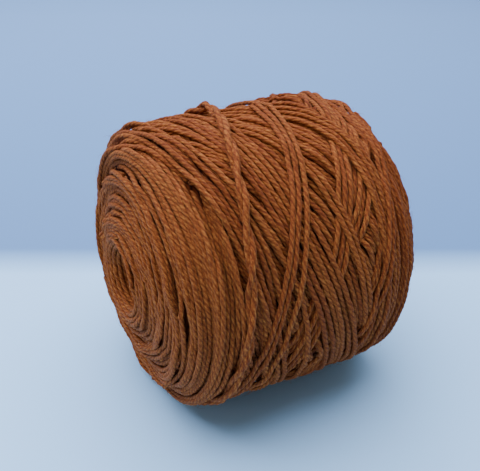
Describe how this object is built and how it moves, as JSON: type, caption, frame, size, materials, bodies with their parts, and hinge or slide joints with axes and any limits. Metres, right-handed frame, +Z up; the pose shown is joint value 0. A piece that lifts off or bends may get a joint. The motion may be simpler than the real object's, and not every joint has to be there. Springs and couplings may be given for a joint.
{
  "type": "cone of yarn",
  "caption": "Short, fat package of plied yarn, wound criss-cross around an open bore, with a few turns standing proud, lying on its side.",
  "frame": {"origin": "on the ground, below the middle of the package as it lies on its side", "axes": "+X along the axis of the bore, towards the slightly wider end, within about a degree; +Z up, away from the flat spot that it rests on; +Y completes the set"},
  "size_m": [0.1127, 0.1159, 0.1143],
  "materials": {
    "yarn": "plied rust-brown yarn, matt, slightly hairy"
  },
  "bodies": {
    "root": {"wound_yarn": "yarn"}
  },
  "joints": []
}
